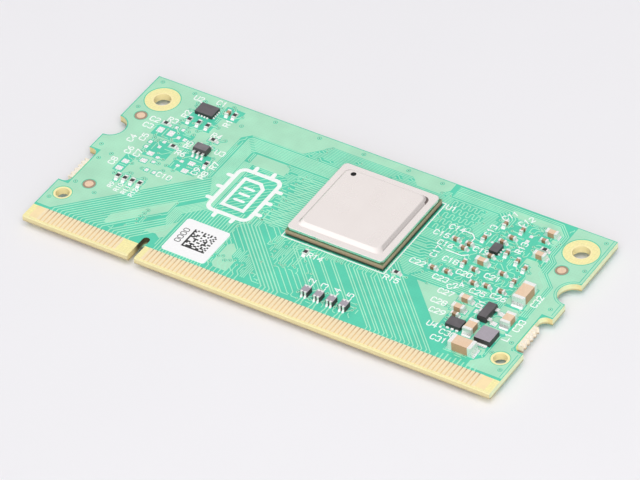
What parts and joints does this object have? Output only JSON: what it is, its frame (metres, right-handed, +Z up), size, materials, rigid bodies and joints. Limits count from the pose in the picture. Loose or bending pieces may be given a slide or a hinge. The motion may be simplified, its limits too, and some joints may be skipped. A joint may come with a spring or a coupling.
{
  "type": "system on module",
  "caption": "Flat rectangular processor board with a metal-lidded chip, small parts on both faces and a keyed row of gold edge contacts that plugs into a card socket.",
  "frame": {"origin": "centre of the footprint on the plane that the underside packages rest on", "axes": "+X along the contact edge, +Y from the contact edge to the back edge, +Z up through the processor lid"},
  "size_m": [0.0676, 0.031, 0.0039],
  "materials": {
    "laminate": "glass-cloth laminate, sawn and routed edges",
    "mask": "green solder mask over copper",
    "gold": "gold plating, satin",
    "copper": "bare copper, satin",
    "tin": "tin plating and solder, bright satin",
    "chip": "moulded epoxy",
    "ceramic": "fired tan ceramic",
    "alumina": "white alumina",
    "overcoat": "dark glaze",
    "ferrite": "grey ferrite",
    "lid_metal": "nickel plating, satin",
    "substrate": "laminate, sawn edges",
    "silicon": "polished silicon",
    "adhesive": "cured adhesive",
    "label_paper": "smooth white label"
  },
  "bodies": {
    "root": {"board": "laminate", "solder_mask_top": "mask", "solder_mask_bottom": "mask", "contacts_top": "gold", "contacts_bottom": "gold", "fiducials": "copper", "bare_lands": "tin", "processor_balls": "tin", "processor_substrate": "substrate", "processor_die": "silicon", "lid_adhesive": "adhesive", "processor_lid": "lid_metal", "level_shifter": "chip", "voltage_monitor_body": "chip", "voltage_monitor_leads": "tin", "load_switch": "chip", "transistor_body": "chip", "transistor_leads": "tin", "regulator": "chip", "inductor_body": "ferrite", "inductor_terminals": "tin", "line_filter_bodies": "ferrite", "line_filter_terminals": "tin", "small_capacitor_bodies": "ceramic", "small_capacitor_terminals": "tin", "medium_capacitor_bodies": "ceramic", "medium_capacitor_terminals": "tin", "large_capacitor_bodies": "ceramic", "large_capacitor_terminals": "tin", "bulk_capacitor_bodies": "ceramic", "bulk_capacitor_terminals": "tin", "resistor_bodies": "alumina", "resistor_terminals": "tin", "resistor_overcoats": "overcoat", "solder_joints_top": "tin", "label": "label_paper", "memory_package": "chip", "memory_balls": "tin", "flash_package": "chip", "flash_balls": "tin", "crystal_base": "alumina", "crystal_lid": "lid_metal", "under_capacitor_bodies": "ceramic", "under_capacitor_terminals": "tin", "under_resistor_bodies": "alumina", "under_resistor_terminals": "tin", "under_resistor_overcoats": "overcoat", "solder_joints_bottom": "tin"}
  },
  "joints": []
}
